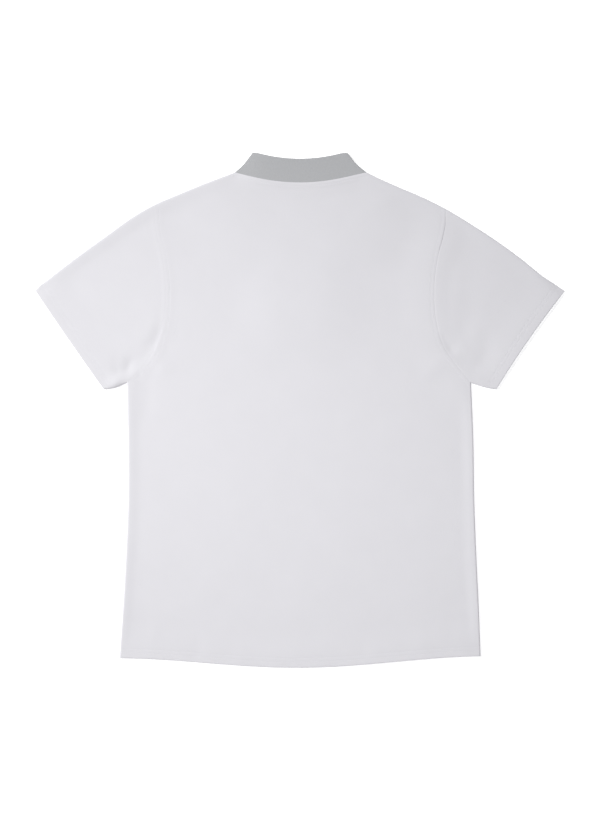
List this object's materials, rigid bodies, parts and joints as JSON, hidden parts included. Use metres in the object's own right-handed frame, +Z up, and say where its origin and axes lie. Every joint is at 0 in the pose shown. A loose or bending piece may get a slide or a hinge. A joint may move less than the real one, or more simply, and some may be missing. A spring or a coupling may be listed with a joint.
{
  "type": "polo shirt",
  "caption": "Short-sleeved knitted polo shirt with a ribbed stand collar, laid flat with its back up.",
  "frame": {"origin": "on the surface the shirt lies on, under the middle of its outline", "axes": "+Z up from the surface, through the front and then the back; +Y from the hem to the collar; +X to the wearer's right"},
  "size_m": [0.82, 0.7994, 0.007],
  "materials": {
    "white_pique": "white cotton pique knit, matte",
    "grey_rib": "light grey flat-knitted rib, matte",
    "white_button": "white polyester resin, satin"
  },
  "bodies": {
    "root": {"back_panel": "white_pique", "front_panel": "white_pique", "sleeve_left": "white_pique", "sleeve_right": "white_pique", "collar": "grey_rib", "placket_upper": "white_pique", "placket_under": "white_pique", "button_1": "white_button", "button_2": "white_button", "button_3": "white_button"}
  },
  "joints": []
}
